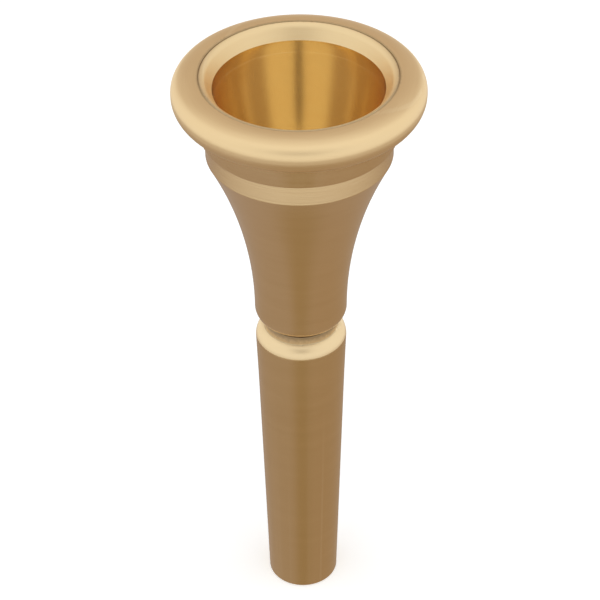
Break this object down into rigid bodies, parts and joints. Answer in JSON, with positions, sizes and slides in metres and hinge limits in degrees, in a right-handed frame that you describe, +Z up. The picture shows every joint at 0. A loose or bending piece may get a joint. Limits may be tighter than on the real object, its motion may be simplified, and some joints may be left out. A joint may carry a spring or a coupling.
{
  "type": "brass mouthpiece",
  "caption": "Turned-brass horn mouthpiece with a screw-on rim, a funnel cup and a screw-in tapered shank.",
  "frame": {"origin": "centre of the tip of the shank, on the axis", "axes": "+Z up the axis from the tip of the shank to the rim"},
  "size_m": [0.0254, 0.0254, 0.0684],
  "materials": {
    "shank_brass": "satin",
    "cup_brass": "satin",
    "rim_brass": "satin",
    "lip_brass": "polished",
    "seal_rubber": "matt"
  },
  "bodies": {
    "shank": {"shank": "shank_brass"},
    "neck_seal": {"neck_seal": "seal_rubber"},
    "cup": {"cup": "cup_brass"},
    "rim_seal": {"rim_seal": "seal_rubber"},
    "rim": {"rim_shell": "rim_brass", "lip_ring": "lip_brass"}
  },
  "joints": [
    {"name": "neck_lift", "type": "slide", "parent": "shank", "child": "neck_seal", "axis": [0, 0, 1], "range_m": [0, 0.00525]},
    {"name": "cup_unscrew", "type": "hinge", "parent": "neck_seal", "child": "cup", "pos_m": [0, 0, 0.041], "axis": [0, 0, 1], "range_deg": [0, 2520]},
    {"name": "rim_lift", "type": "slide", "parent": "cup", "child": "rim_seal", "axis": [0, 0, 1], "range_m": [0, 0.0042]},
    {"name": "rim_unscrew", "type": "hinge", "parent": "rim_seal", "child": "rim", "pos_m": [0, 0, 0.0637], "axis": [0, 0, 1], "range_deg": [0, 2520]}
  ],
  "couplings": [
    {"joint": "neck_lift", "follows": "cup_unscrew", "m_per_rad": 0.00011937},
    {"joint": "rim_lift", "follows": "rim_unscrew", "m_per_rad": 0.000095493}
  ]
}
